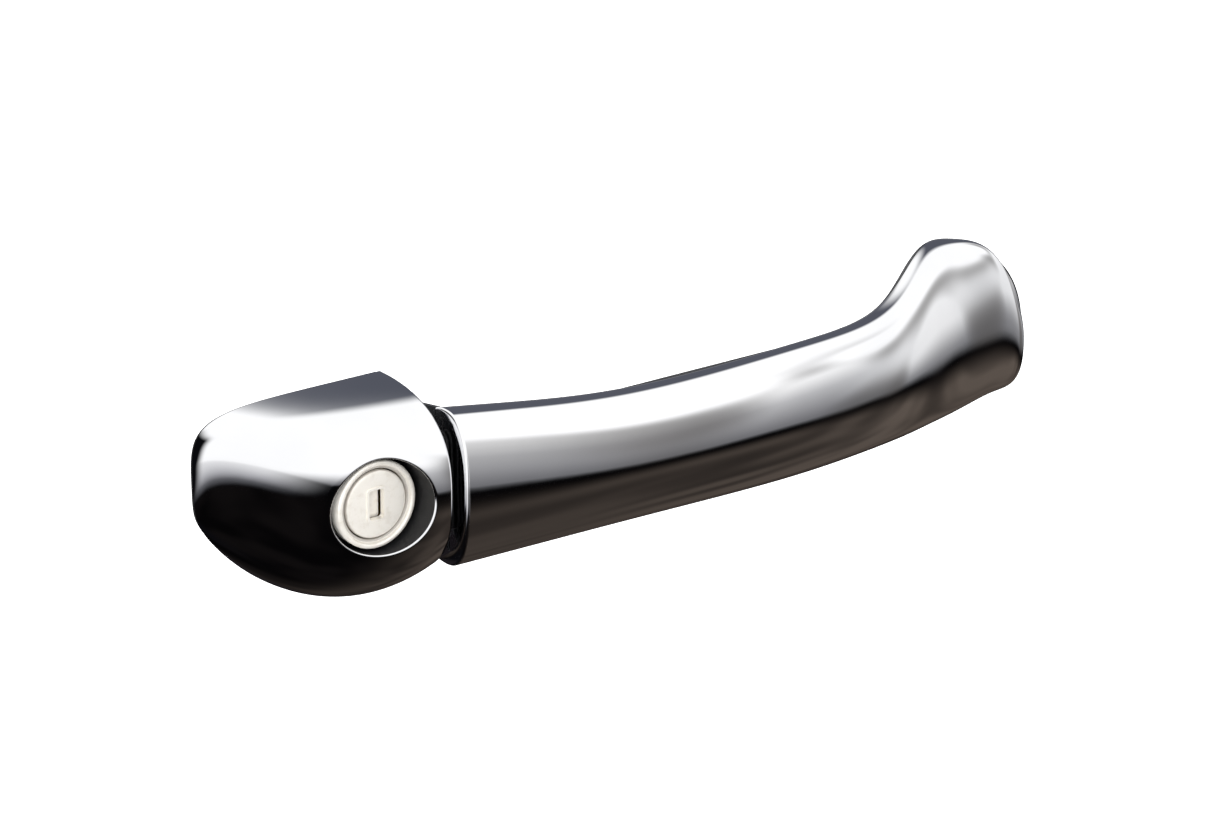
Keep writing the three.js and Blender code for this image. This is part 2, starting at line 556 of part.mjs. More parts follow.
add('carrier_frame', carrierFrame(), NYLON);
add('cap_shell', capShell(), CHROME);
add('cap_seal', capSeal(), RUBBER);
add('seam_buffer', seamBuffer(), RUBBER);
add('clamp_screw', clampScrew(), STEEL);
add('clamp_insert', clampInsert(), BRASS);
add('skin_screw', skinScrew(), STEEL);
add('skin_insert', skinInsert(), BRASS);
add('lock_ring', lockRing(), SATIN);
add('lock_housing', lockHousing(), ZINC);
add('lock_seal_ring', lockSealRing(), RUBBER);
add('plug_return_spring', plugSpring(), SPRING);
add('pivot_pin', pivotPin(), STEEL);
add('pivot_clip', eClip('z', [PIVOT.x, PIVOT.y, LUGS[1][1] + 0.2]), SPRING);
add('crank_pin', crankPin(), STEEL);
add('crank_clip', eClip('x', [EAR.far[1] + 0.2, CRANK.y, CRANK.z]), SPRING);
add('crank_spring', crankSpring(), SPRING);
add('foot_seal', footSeal(), RUBBER);
add('leg_seal', legSeal(), RUBBER);
add('cable_clip', cableClip(), ACETAL);
add('grip_shell', gripShell(), CHROME);
add('grip_liner', gripLiner(), LINER);
add('pull_leg', leg, NYLON);
add('pivot_arm', pivotArm(), NYLON);
add('pivot_bush', pivotBush(), ACETAL);
linerScrews.forEach(([x, y], i) => add(
  `liner_screw_${i + 1}`, screw('y', [x, y, 0], { thick: 1.2, radius: 3.2 }, -8, 1.5), STEEL));
add('crank_lever', crankLever(tip), ZINC);
add('crank_finger', crankFinger(tip), STEEL);
add('counterweight', counterweight(), ZINC);
add('counterweight_rivet', counterweightRivet(), STEEL);
add('lock_plug', lockPlug(), BRASS);
add('plug_face', plugFace(), SATIN);
waferPlaces.forEach((y, i) => add(`wafer_${i + 1}`, wafer(y), BRASS));
add('shutter_pin', shutterPin(), STEEL);
add('key_shutter', keyShutter(), SATIN);
add('lock_lever', lockLever(), STEEL);
add('lock_lever_clip', lockClip(), SPRING);

export default handle;
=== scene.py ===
import math

import bmesh
import bpy
import numpy as np
from mathutils import Matrix, Vector


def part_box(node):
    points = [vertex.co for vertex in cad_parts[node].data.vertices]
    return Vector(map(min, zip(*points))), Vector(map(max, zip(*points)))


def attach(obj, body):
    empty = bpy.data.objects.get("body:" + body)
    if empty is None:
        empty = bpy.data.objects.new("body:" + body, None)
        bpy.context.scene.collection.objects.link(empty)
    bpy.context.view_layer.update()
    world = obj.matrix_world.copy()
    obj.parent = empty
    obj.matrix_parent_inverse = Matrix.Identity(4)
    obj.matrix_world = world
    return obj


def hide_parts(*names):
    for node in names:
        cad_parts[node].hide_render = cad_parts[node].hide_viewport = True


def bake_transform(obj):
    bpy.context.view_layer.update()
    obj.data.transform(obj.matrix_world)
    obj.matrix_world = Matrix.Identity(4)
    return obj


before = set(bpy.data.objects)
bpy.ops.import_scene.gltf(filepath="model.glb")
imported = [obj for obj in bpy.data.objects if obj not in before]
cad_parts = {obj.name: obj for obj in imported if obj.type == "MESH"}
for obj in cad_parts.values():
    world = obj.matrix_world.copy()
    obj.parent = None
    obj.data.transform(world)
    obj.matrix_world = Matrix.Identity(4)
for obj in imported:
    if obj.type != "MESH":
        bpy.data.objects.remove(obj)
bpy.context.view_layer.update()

# ---- Camera -------------------------------------------------------------------------
# The handle is seen from its rear end, a little above and well in front of the door, with
# a long lens, so that its far foot looks hardly smaller than the near cap.
MM = 0.001
door_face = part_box("cap_seal")[1].y          # outer face of the door skin
target = Vector((62.98 * MM, door_face, -4.18 * MM))
azimuth, elevation, roll = math.radians(-37.46), math.radians(20.7), math.radians(0.47)
distance = 0.8757
ahead = Vector((-math.sin(azimuth) * math.cos(elevation), math.cos(azimuth) * math.cos(elevation),
                -math.sin(elevation)))
level = Vector((math.cos(azimuth), math.sin(azimuth), 0.0))
right = level * math.cos(roll) + level.cross(ahead) * math.sin(roll)
pose = Matrix((right, right.cross(ahead), -ahead)).transposed().to_4x4()
pose.translation = target - ahead * distance

camera_data = bpy.data.cameras.new("camera")
camera_data.sensor_width = 36.0
camera_data.lens = 112.75
camera_data.clip_end = 20.0
camera = bpy.data.objects.new("camera", camera_data)
camera.matrix_world = pose
bpy.context.scene.collection.objects.link(camera)
bpy.context.scene.camera = camera
bpy.context.scene.view_settings.view_transform = "Standard"


# ---- Studio -------------------------------------------------------------------------
# A white studio: bright overhead and in front, dim towards the door side and the ground,
# over a pale floor. Bright plating shows little else but this room.
class Wire:
    """A value on its way through a node tree. Arithmetic on it adds Math nodes."""

    def __init__(self, tree, socket=None):
        self.tree = tree
        self.socket = socket

    def node(self, kind, settings=None, sockets=None, output=0):
        made = self.tree.nodes.new(kind)
        for name, value in (settings or {}).items():
            if name == "stops":
                self._set_stops(made.color_ramp, value)
            else:
                setattr(made, name, value)
        for name, value in (sockets or {}).items():
            if isinstance(value, Wire):
                self.tree.links.new(value.socket, made.inputs[name])
            else:
                made.inputs[name].default_value = value
        return Wire(self.tree, made.outputs[output] if made.outputs else None)

    @staticmethod
    def _set_stops(ramp, stops):
        for spot, (place, colour) in enumerate(stops):
            stop = ramp.elements[spot] if spot < 2 else ramp.elements.new(place)
            stop.position = place
            stop.color = (*colour, 1.0)

    def _math(self, operation, first, second):
        return self.node("ShaderNodeMath", {"operation": operation}, {0: first, 1: second})

    def __add__(self, other):
        return self._math("ADD", self, other)

    def __sub__(self, other):
        return self._math("SUBTRACT", self, other)

    def __rsub__(self, other):
        return self._math("SUBTRACT", other, self)

    def __mul__(self, other):
        return self._math("MULTIPLY", self, other)

    __radd__ = __add__
    __rmul__ = __mul__

    def ramp(self, low, high, start=0.0, end=1.0):
        """Eases from start to end while the value goes from low to high."""
        return self.node("ShaderNodeMapRange", {"interpolation_type": "SMOOTHSTEP"}, {
            "Value": self, "From Min": low, "From Max": high, "To Min": start, "To Max": end})

    def blend(self, colour, other):
        """A colour that goes to the other colour as this value goes from 0 to 1."""
        mix = self.tree.nodes.new("ShaderNodeMix")
        mix.data_type = "RGBA"
        for socket, value in ((mix.inputs[0], self), (mix.inputs[6], colour), (mix.inputs[7], other)):
            if isinstance(value, Wire):
                self.tree.links.new(value.socket, socket)
            else:
                socket.default_value = (*value, 1.0)
        return Wire(self.tree, mix.outputs[2])


world = bpy.data.worlds.new("studio")
world.use_nodes = True
world.node_tree.nodes.clear()
sky = Wire(world.node_tree)
heading = sky.node("ShaderNodeTexCoord")
along, inward, upward = (
    sky.node("ShaderNodeSeparateXYZ", sockets={0: heading}, output=axis) for axis in range(3))
height = upward * 0.5 + 0.5
rear = sky.node("ShaderNodeValToRGB", {"stops": [
    (0.262, (0.004, 0.004, 0.005)), (0.28, (0.10, 0.10, 0.11)), (0.296, (0.42, 0.42, 0.44)),
    (0.312, (0.68, 0.68, 0.69)), (0.338, (0.97, 0.97, 0.97)), (0.40, (1.0, 1.0, 1.0))]},
    {0: height})
front = sky.node("ShaderNodeValToRGB", {"stops": [
    (0.318, (0.004, 0.004, 0.005)), (0.336, (0.15, 0.15, 0.16)), (0.39, (0.27, 0.27, 0.28)),
    (0.48, (0.46, 0.46, 0.47)), (0.57, (0.78, 0.78, 0.78)), (0.65, (1.0, 1.0, 1.0))]},
    {0: height})
side = along - upward * 1.4
room = side.ramp(-0.15, 0.25).blend(rear, front)
room = (along.ramp(0.7, 1.0) * upward.ramp(-0.36, -0.2) * 0.7).blend(room, (1.0, 1.0, 1.0))
patch = sky.node("ShaderNodeTexNoise", sockets={"Vector": heading, "Scale": 2.6, "Detail": 0.0}, output=0)
streak = sky.node("ShaderNodeTexNoise", sockets={"Vector": heading, "Scale": 3.2, "Detail": 1.0}, output=0)
low_front = along.ramp(0.25, 0.5) * upward.ramp(0.75, 0.35)
room = (patch.ramp(0.5, 0.75) * low_front * 0.7).blend(room, (0.075, 0.068, 0.064))
level = upward + along.ramp(-0.6, -0.1, 0.115, 0.0)
brown = (along.ramp(-0.15, 1.0) * upward.ramp(-0.36, -0.46)).blend(
    (0.0015, 0.0013, 0.0015), (0.105, 0.084, 0.070))
brown = (streak.ramp(0.35, 0.7) * 0.7).blend(brown, (0.006, 0.005, 0.005))
room = (level + (streak - 0.5) * 0.05).ramp(-0.33, -0.37).blend(room, brown)
door_side = inward.ramp(0.28, 0.48) * along.ramp(0.3, 0.52) * upward.ramp(-0.2, 0.1)
room = door_side.blend(room, (0.085, 0.09, 0.112))
behind = inward.ramp(0.0, 0.3) * along.ramp(-0.2, -0.45) * upward.ramp(0.8, 0.45)
room = behind.blend(room, (0.003, 0.003, 0.004))
skirting = inward.ramp(0.55, 0.75) * upward.ramp(0.0, -0.15)
room = skirting.blend(room, (0.012, 0.010, 0.012))
lit = sky.node("ShaderNodeBackground", sockets={"Color": room, "Strength": 1.22})
paper = sky.node("ShaderNodeBackground", sockets={"Color": (1.0, 1.0, 1.0, 1.0), "Strength": 1.0})
seen = sky.node("ShaderNodeLightPath")
both = sky.node("ShaderNodeMixShader", sockets={0: seen, 1: lit, 2: paper})
sky.node("ShaderNodeOutputWorld", sockets={"Surface": both})
bpy.context.scene.world = world

FLOOR_Z = -0.17
floor_mesh = bpy.data.meshes.new("floor")
floor_corners = [(x, y, FLOOR_Z) for x, y in ((-6, -6), (6, -6), (6, 6), (-6, 6))]
floor_mesh.from_pydata(floor_corners, [], [(0, 1, 2, 3)])
floor = bpy.data.objects.new("floor", floor_mesh)
bpy.context.scene.collection.objects.link(floor)
floor.visible_glossy = False
card = bpy.data.materials.new("pale_card")
card.use_nodes = True
card.node_tree.nodes.clear()
plain = Wire(card.node_tree)
matt = plain.node("ShaderNodeBsdfDiffuse", sockets={"Color": (0.9, 0.9, 0.9, 1.0)})
glow = plain.node("ShaderNodeEmission", sockets={"Color": (1.0, 1.0, 1.0, 1.0), "Strength": 0.62})
pale = plain.node("ShaderNodeAddShader", sockets={0: matt, 1: glow})
plain.node("ShaderNodeOutputMaterial", sockets={"Surface": pale})
floor_mesh.materials.append(card)


def soft_light(name, place, size, power):
    """A large soft light that brightens dull pieces and isn't mirrored in the plating."""
    data = bpy.data.lights.new(name, "AREA")
    data.energy = power
    data.size = size
    lamp = bpy.data.objects.new(name, data)
    lamp.matrix_world = (Matrix.Translation(place)
                         @ (target - Vector(place)).to_track_quat("-Z", "Y").to_matrix().to_4x4())
    lamp.visible_glossy = False
    bpy.context.scene.collection.objects.link(lamp)


soft_light("front_light", (-0.5, -1.1, 0.9), 0.8, 9.0)
soft_light("back_light", (0.6, 1.2, 0.7), 0.8, 9.0)


# ---- Lock cap -----------------------------------------------------------------------
# A moulded cap, copper-nickel-chrome plated, fixed to the carrier through the door skin.
# Its outline is fuller above than below, and a round recess in its face holds the lock.
CAP_LENGTH, CAP_DEPTH = 49.0, 28.3
CAP_TOP, CAP_BOTTOM, CAP_BELLY = 21.3, 21.2, 32.0
EDGE_ROUND = 0.8                     # rounding where the cap faces the grip
WALL = 2.2
RECESS_R, RECESS_LIP = 11.0, 0.6
OUTER = door_face / MM
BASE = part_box("grip_shell")[1].y / MM
LOCK_X = (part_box("lock_ring")[0].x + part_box("lock_ring")[1].x) / 2 / MM


def to_object(name, points, faces, smooth_angle=35.0):
    """A piece from points in millimetres, merged, turned face out and smoothed."""
    mesh = bpy.data.meshes.new(name)
    mesh.from_pydata([tuple(p) for p in np.asarray(points, float) * MM], [], faces)
    piece = bpy.data.objects.new(name, mesh)
    bpy.context.scene.collection.objects.link(piece)
    tidy(piece, smooth_angle)
    return piece


def tidy(piece, smooth_angle=35.0, merge=1e-6):
    made = bmesh.new()
    made.from_mesh(piece.data)
    bmesh.ops.remove_doubles(made, verts=made.verts, dist=merge)
    bmesh.ops.dissolve_degenerate(made, edges=made.edges, dist=merge)
    bmesh.ops.recalc_face_normals(made, faces=made.faces)
    made.to_mesh(piece.data)
    made.free()
    for polygon in piece.data.polygons:
        polygon.use_smooth = True
    piece.data.set_sharp_from_angle(angle=math.radians(smooth_angle))
    return piece


def loft(name, rings, smooth_angle=35.0):
    """A closed piece over rings of equal length, with a flat end on each."""
    rings = np.asarray(rings)
    count, around = rings.shape[:2]
    faces = []
    for i in range(count - 1):
        for j in range(around):
            a, b = i * around + j, i * around + (j + 1) % around
            faces.append((a, b, b + around, a + around))
    faces.append(tuple(range(around - 1, -1, -1)))
    faces.append(tuple((count - 1) * around + j for j in range(around)))
    return to_object(name, rings.reshape(-1, 3), faces, smooth_angle)


def turned(name, profile, at, axis="y", steps=72, smooth_angle=35.0):
    """A turned piece: a closed profile of (radius, height) spun round an axis."""
    angles = np.linspace(0, 2 * np.pi, steps, endpoint=False)
    points, faces = [], []
    for a in angles:
        for radius, height in profile:
            spun = {"y": (radius * np.cos(a), height, radius * np.sin(a)),
                    "x": (height, radius * np.cos(a), radius * np.sin(a)),
                    "z": (radius * np.cos(a), radius * np.sin(a), height)}[axis]
            points.append(np.add(at, spun))
    rows = len(profile)
    for i in range(steps):
        for j in range(rows):
            a, b = i * rows + j, i * rows + (j + 1) % rows
            c = ((i + 1) % steps) * rows
            faces.append((a, b, c + (j + 1) % rows, c + j))
    return to_object(name, points, faces, smooth_angle)


def carve(piece, tool, operation="DIFFERENCE"):
    """Cuts the tool from the piece, or joins it, and takes the tool away."""
    change = piece.modifiers.new("carve", "BOOLEAN")
    change.operation = operation
    change.solver = "MANIFOLD"
    change.object = tool
    graph = bpy.context.evaluated_depsgraph_get()
    graph.update()
    result = bpy.data.meshes.new_from_object(piece.evaluated_get(graph))
    piece.modifiers.clear()
    piece.data = result
    bpy.data.objects.remove(tool)
    return piece


def block(x, y, z, name="block"):
    corners = [(a, b, c) for a in x for b in y for c in z]
    faces = [(0, 1, 3, 2), (4, 6, 7, 5), (0, 4, 5, 1), (2, 3, 7, 6), (0, 2, 6, 4), (1, 5, 7, 3)]
    return to_object(name, corners, faces)


def bar(at, length, radius, axis="y", steps=64):
    return turned("bar", [(1e-4, 0), (radius, 0), (radius, length), (1e-4, length)], at, axis, steps)


def cap_section(x, inset=0.0):
    """Top, bottom, depth, ridge height and share of the length at a distance x from the seam."""
    u = np.clip(-x / (CAP_LENGTH - inset), 0, 1)
    near = np.clip(1 + x / EDGE_ROUND, 0, 1)
    shrink = inset + EDGE_ROUND * (1 - np.sqrt(1 - near ** 2))

    def edge(size, sharpness):
        return (size - shrink) * (1 - u ** sharpness) ** (1 / sharpness)

    top, bottom = edge(CAP_TOP, 6.0), -edge(CAP_BOTTOM + CAP_BELLY * u * (1 - u), 1.85)
    return top, bottom, edge(CAP_DEPTH, 1.6), bottom + (top - bottom) * (0.51 + 0.29 * u), u


def cap_face(x, z, inset=0.0):
    """How far into the door the cap's outer surface lies at a place on its face."""
    top, bottom, depth, ridge, u = cap_section(x, inset)
    above = z > ridge
    half = np.maximum(np.where(above, top - ridge, ridge - bottom), 1e-6)
    power = np.where(above, 2.6 - 0.3 * u, 2.85 - 0.85 * u)
    rise = np.clip(np.abs(z - ridge) / half, 0, 1)
    return OUTER - depth * (1 - rise ** power) ** (1 / power)


def cap_block(rays=420, steps=66, lip_steps=9):
    """The solid cap, laid out in rays from the lock so that the recess lip stays smooth."""
    spin = np.linspace(0, 2 * np.pi, rays, endpoint=False)
    direction = np.stack([np.cos(spin), np.sin(spin)], 1)
    near, far = np.full(rays, RECESS_R), np.full(rays, 70.0)
    for _ in range(50):
        middle = (near + far) / 2
        x, z = LOCK_X + direction[:, 0] * middle, direction[:, 1] * middle
        inside = (x < 0) & (x > -CAP_LENGTH) & (cap_face(x, z) < BASE)
        near, far = np.where(inside, middle, near), np.where(inside, far, middle)
    lip = RECESS_R + RECESS_LIP
    share = 1 - (1 - np.linspace(0, 1, steps)) ** 3.5

    def height(reach):
        return cap_face(LOCK_X + direction[:, 0] * reach, direction[:, 1] * reach)

    lip_y = height(lip)
    slope = (height(lip + 0.01) - height(lip - 0.01)) / 0.02
    corner = lip_y - slope * RECESS_LIP
    rings = []
    for y in (BASE, BASE - 4):
        rings.append((np.full(rays, RECESS_R), np.full(rays, y)))
    for t in np.linspace(0, 1, lip_steps):
        weights = ((1 - t) ** 2, 2 * t * (1 - t), t ** 2)
        reach = weights[0] * RECESS_R + weights[1] * RECESS_R + weights[2] * lip
        rings.append((np.full(rays, reach), weights[0] * (corner + RECESS_LIP) + weights[1] * corner
                      + weights[2] * lip_y))
    for s in share[1:]:
        reach = lip + (near - lip) * s
        rings.append((reach, np.minimum(height(reach), BASE)))
    rings.append((near, np.full(rays, BASE)))
    points = np.concatenate([
        np.stack([LOCK_X + direction[:, 0] * reach, y, direction[:, 1] * reach], 1) for reach, y in rings])
    faces = []
    for i in range(len(rings)):
        following = (i + 1) % len(rings)
        for j in range(rays):
            k = (j + 1) % rays
            faces.append((i * rays + j, i * rays + k, following * rays + k, following * rays + j))
    return to_object("lock_cap", points, faces, 30.0)


def cap_hollow(stations=40, around=36):
    """The space inside the cap, one wall thickness in, open to the door."""
    rings = []
    for share in np.sin(np.linspace(np.pi / 2, 0, stations)) * 0.995:
        x = -WALL - share * (CAP_LENGTH - 2 * WALL)
        top, bottom, _, _, _ = cap_section(np.array(x), WALL)
        rise = np.sin(np.linspace(-np.pi / 2, np.pi / 2, around)) * 0.9999
        z = (top + bottom) / 2 + (top - bottom) / 2 * rise
        arch = np.stack([np.full(around, x), np.minimum(cap_face(x, z, WALL), -1.0), z], 1)
        rings.append([(x, 1.0, bottom), *arch, (x, 1.0, top)])
    return loft("hollow", rings)


cap = cap_block()
hollow = carve(cap_hollow(), bar((LOCK_X, -40, 0), 60, RECESS_R + 1.8))
cap = carve(cap, hollow)
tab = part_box("cap_shell")[1].y / MM
carve(cap, block((-42.5, -39), (-6, tab), (-2.6, 2.6)), "UNION")
tidy(cap, 30.0)


def new_material(name):
    """An empty material, with a wire that carries the piece's own coordinates."""
    material = bpy.data.materials.new(name)
    material.use_nodes = True
    material.node_tree.nodes.clear()
    return material, Wire(material.node_tree).node("ShaderNodeTexCoord", output=3)


def noise(place, scale, detail=3.0, rough=0.5):
    return place.node("ShaderNodeTexNoise", sockets={
        "Vector": place, "Scale": scale, "Detail": detail, "Roughness": rough})


def surface(place, colour, roughness, metallic=0.0, height=None, lift=0.2, depth=1e-4, extra=None):
    """Ends a material: a principled surface with a bump from the height, where it has one."""
    sockets = {"Base Color": colour if isinstance(colour, Wire) else (*colour, 1.0),
               "Roughness": roughness, "Metallic": metallic, **(extra or {})}
    if height is not None:
        sockets["Normal"] = place.node("ShaderNodeBump", sockets={
            "Height": height, "Strength": lift, "Distance": depth})
    shader = place.node("ShaderNodeBsdfPrincipled", sockets=sockets)
    place.node("ShaderNodeOutputMaterial", sockets={"Surface": shader})


def bright_chrome():
    """Plated plastic: a near-perfect mirror with a faint orange peel and fine wiping marks."""
    material, place = new_material("bright_chrome")
    cloud = noise(place, 30.0)
    streaks = noise(place.node("ShaderNodeMapping", sockets={"Vector": place, "Scale": (60, 900, 900)}), 1.0)
    colour = cloud.ramp(0.3, 0.7).blend((0.80, 0.805, 0.82), (0.86, 0.86, 0.87))
    surface(place, colour, 0.02 + cloud * 0.02 + streaks * 0.015, 1.0, noise(place, 140.0, 2.0), 0.05, 1e-4)
    return material


def recess_painted_shade():
    """The wall of the lock recess: near-black plastic instead of plating, as painted shade for the dark
    inside of the recess.
    """
    material, place = new_material("recess_painted_shade")
    grain = noise(place, 1300.0, 3.0)
    shade = grain.ramp(0.3, 0.7).blend((0.004, 0.004, 0.005), (0.009, 0.009, 0.010))
    surface(place, shade, 0.5 + grain * 0.2, 0.0, grain, 0.3, 5e-5)
    return material


chrome = bright_chrome()
cap.data.materials.clear()
cap.data.materials.append(chrome)
cap.data.materials.append(recess_painted_shade())
# The faces of the recess wall take the near-black material: painted shade inside the lock recess.
for polygon in cap.data.polygons:
    middle = polygon.center / MM
    if math.hypot(middle.x - LOCK_X, middle.z) < RECESS_R + 0.05:
        polygon.material_index = 1
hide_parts("cap_shell")
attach(cap, "carrier")


# ---- Grip shell ---------------------------------------------------------------------
# The outer half of the hollow grip, moulded and plated like the cap. It bows out from the
# seam and flares into the foot, which stands on the door over the pivot.
# Columns: outer point x and stand-off from the door, inner point x and stand-off, half
# height, centre height, roundness of the section, lean of its outer point.
GRIP = np.array([
    (1.8, 30.8, 1.8, 13.1, 18, 0, 2.6, 0),
    (45, 36.1, 45, 19.3, 15.2, -0.9, 2.2, 0),
    (90, 38.1, 90, 21.6, 15.7, -0.2, 2.15, 0),
    (125, 33.5, 123, 18, 16.4, 0, 2.15, 0),
    (150.8, 22, 146, 6.5, 21.8, 2.2, 2.2, -2.3),
    (171.8, 16.6, 154.9, 0.6, 21.2, 1, 2.8, 0.4),
    (183.2, 11.8, 160.1, 0, 15.6, -1, 2.36, -8.2),
    (193.1, 0, 162, 0, 17.4, -2.3, 2.38, -7.9),
])
PARTING = -0.35                      # share of the section depth where shell and liner meet


def grip_table(samples=700, spread=0.22):
    """The measures along the grip: a cubic through the columns, then eased a little."""
    last = len(GRIP) - 1
    ends = np.vstack([2 * GRIP[0] - GRIP[1], GRIP, 2 * GRIP[last] - GRIP[last - 1]])
    place = np.linspace(0, last, samples)
    k = np.minimum(place.astype(int), last - 1)
    f = (place - k)[:, None]
    before, here, there, after = (ends[k + i] for i in range(4))
    table = 0.5 * (2 * here + (there - before) * f + (2 * before - 5 * here + 4 * there - after) * f * f
                   + (3 * here - before - 3 * there + after) * f ** 3)
    reach = int(3 * spread * samples / last)
    weights = np.exp(-0.5 * (np.arange(-reach, reach + 1) * last / samples / spread) ** 2)
    padded = np.vstack([2 * table[0] - table[reach:0:-1], table, 2 * table[-1] - table[-2:-reach - 2:-1]])
    return np.stack([np.convolve(column, weights / weights.sum(), "valid") for column in padded.T], 1)


MEASURES = grip_table()


def grip_station(t):
    """The grip's measures at a share t of the way from seam to foot."""
    return np.array([np.interp(t, np.linspace(0, 1, len(MEASURES)), column) for column in MEASURES.T])


def grip_arc(t, turn, inset=0.0, low=-2.0, high=2.0, shift=0.0):
    """Points of one section at the given angles, kept between two shares of its depth."""
    ox, oy, ix, iy, half, centre, power, lean = grip_station(t)
    depth = math.hypot(ox - ix, oy - iy) / 2
    scale = (depth - inset) / depth
    c = np.sign(np.cos(turn)) * np.abs(np.cos(turn)) ** (2 / power) * scale
    s = np.sign(np.sin(turn)) * np.abs(np.sin(turn)) ** (2 / power)
    across = np.clip(c, low, high)
    reach = np.clip(1 - np.abs(across / scale) ** power, 0, 1) ** (1 / power)
    rise = np.where(across == c, s, np.sign(s) * np.minimum(np.abs(s), reach))
    return np.stack([(ox + ix) / 2 + (ox - ix) / 2 * across + shift,
                     OUTER - (oy + iy) / 2 - (oy - iy) / 2 * across,
                     centre + (half - inset) * rise + lean * across], -1)


def lip_angle(t, share):
    """The angle at which a section reaches a share of its depth."""
    power = grip_station(t)[6]
    return math.acos(math.copysign(abs(share) ** (power / 2), share))


def shell_ring(t, inset=0.0, shift=0.0, open_inside=True, around=84):
    """One C-shaped ring: the outer skin, then back along the wall's inner side."""
    edge = lip_angle(t, PARTING)
    outside = grip_arc(t, np.linspace(-edge, edge, around), inset, PARTING, 2.0, shift)
    if open_inside:
        inside = grip_arc(t, np.linspace(edge * 0.985, -edge * 0.985, around), WALL, PARTING, 2.0, shift)
    else:
        share = np.linspace(0.02, 0.98, around)[:, None]
        inside = outside[-1] * (1 - share) + outside[0] * share
    return np.concatenate([outside, inside])


END_ROUND = 0.6


def below_base(piece):
    """Cuts a piece off level with the foot's base and closes the cut."""
    return carve(piece, block((-20, 230), (BASE, BASE + 40), (-60, 60)))


HOLLOW_START = 0.0075
ends = [(END_ROUND * (1 - math.sin(a)), END_ROUND * (1 - math.cos(a)))
        for a in np.linspace(0, math.pi / 2, 7)]
rings = [shell_ring(0.0, inset, shift, False) for inset, shift in ends]
rings += [shell_ring(t, open_inside=False) for t in np.linspace(END_ROUND / 302, HOLLOW_START, 4)]
rings += [shell_ring(t) for t in np.linspace(HOLLOW_START, 1.0, 230)]
shell = tidy(below_base(loft("grip_shell_plated", rings, 30.0)), 30.0)


def finish_piece(piece, nodes, body, material):
    """Gives a piece its material, hides the CAD nodes it stands for and ties it to the body it moves with."""
    piece.data.materials.clear()
    piece.data.materials.append(material)
    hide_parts(*([nodes] if isinstance(nodes, str) else nodes))
    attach(piece, body)


finish_piece(shell, "grip_shell", "grip", chrome)


# ---- Grip liner ---------------------------------------------------------------------
# The black inner half of the grip, which the fingers pull on. It is screwed to the leg and
# the pivot arm, and has a window for each and two recessed screws.
LINER_TOP = -0.39
LINER_WINDOWS = [((9.0, 15.0), (-30, 0), (-6.3, 5.3)), ((164, 200), (-14, 0), (-13.8, -4.2))]
LINER_SCREWS = [(24.0, -17.6), (96.0, -21.9)]


def moulded_black(name, colour, roughness, grain, depth):
    """Black moulding: faint flow marks and a fine eroded grain."""
    material, place = new_material(name)
    flow = noise(place.node("ShaderNodeMapping", sockets={"Vector": place, "Scale": (25, 90, 90)}), 1.0, 4.0)
    grains = place.node("ShaderNodeTexVoronoi", sockets={"Vector": place, "Scale": grain})
    shade = flow.ramp(0.35, 0.7).blend(colour, tuple(1.6 * c for c in colour))
    bumps = grains * 0.6 + noise(place, grain * 1.7) * 0.4
    surface(place, shade, roughness + flow * 0.15, 0.0, bumps, 0.45, depth)
    return material


liner_black = moulded_black("liner_black", (0.016, 0.017, 0.019), 0.32, 1500.0, 1.2e-4)
around = np.linspace(0, 2 * np.pi, 96, endpoint=False)
liner = loft("grip_liner_moulded",
             [grip_arc(t, around, 0, -2, LINER_TOP) for t in np.linspace(0, 1, 180)], 30.0)
core = loft("core", [grip_arc(t, around, WALL, PARTING - 0.35, 2.0) for t in np.linspace(0.0075, 0.9, 160)])
liner = carve(below_base(liner), core)
for span in LINER_WINDOWS:
    carve(liner, block(*span))
for x, y in LINER_SCREWS:
    carve(liner, bar((x, y - 9, 0), 12, 1.9))
    carve(liner, bar((x, y - 1.6, 0), 6, 3.6))
finish_piece(tidy(liner, 30.0), "grip_liner", "grip", liner_black)


# ---- Lock face ----------------------------------------------------------------------
# A satin-plated escutcheon ring with a raised rim and a groove, and inside it the face of
# the plug. A sprung shutter keeps dirt out of the keyhole.
LOCK_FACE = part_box("lock_ring")[0].y / MM
RING_R, PLUG_R = 10.0, 7.7
KEYHOLE = (1.9, 3.4)                 # half width and half height


def satin_nickel():
    """Satin nickel: warm, finely brushed in circles, with a few handling marks, and painted shade in the
    sunken groove round the plug.
    """
    material, place = new_material("satin_nickel")
    stretched = place.node("ShaderNodeMapping", sockets={"Vector": place, "Scale": (300, 40, 300)})
    brushed = noise(stretched, 6.0, 4.0)
    marks = noise(place, 420.0, 5.0, 0.7)
    across = place.node("ShaderNodeSeparateXYZ", sockets={0: place}, output=0) - LOCK_X * MM
    up = place.node("ShaderNodeSeparateXYZ", sockets={0: place}, output=2)
    radius = (across * across + up * up) * 1e6 + (marks - 0.5) * 4.0
    # Painted shade: the base colour darkens over the sunken ring between the plug's edge and the escutcheon,
    # where shade falls.
    groove_painted_shade = radius.ramp(54.0, 58.5) * radius.ramp(77.0, 70.0)
    shade = marks.ramp(0.45, 0.75).blend((0.90, 0.865, 0.80), (0.80, 0.755, 0.68))
    shade = (groove_painted_shade * 0.55).blend(shade, (0.30, 0.27, 0.24))
    surface(place, shade, 0.30 + brushed * 0.14, 0.45, brushed, 0.12, 5e-5)
    return material


nickel = satin_nickel()
ring = turned("lock_ring_turned", [
    (PLUG_R + 0.3, 3.0), (PLUG_R + 0.3, 1.1), (PLUG_R + 0.42, 0.9), (8.55, 0.86), (8.7, 0.8), (8.82, 0.4),
    (8.95, 0.12), (9.15, 0.0), (9.5, 0.0), (9.75, 0.08), (9.92, 0.25), (RING_R, 0.5),
    (RING_R, 2.9), (9.9, 3.0),
], (LOCK_X, LOCK_FACE, 0), steps=160)
finish_piece(ring, "lock_ring", "carrier", nickel)

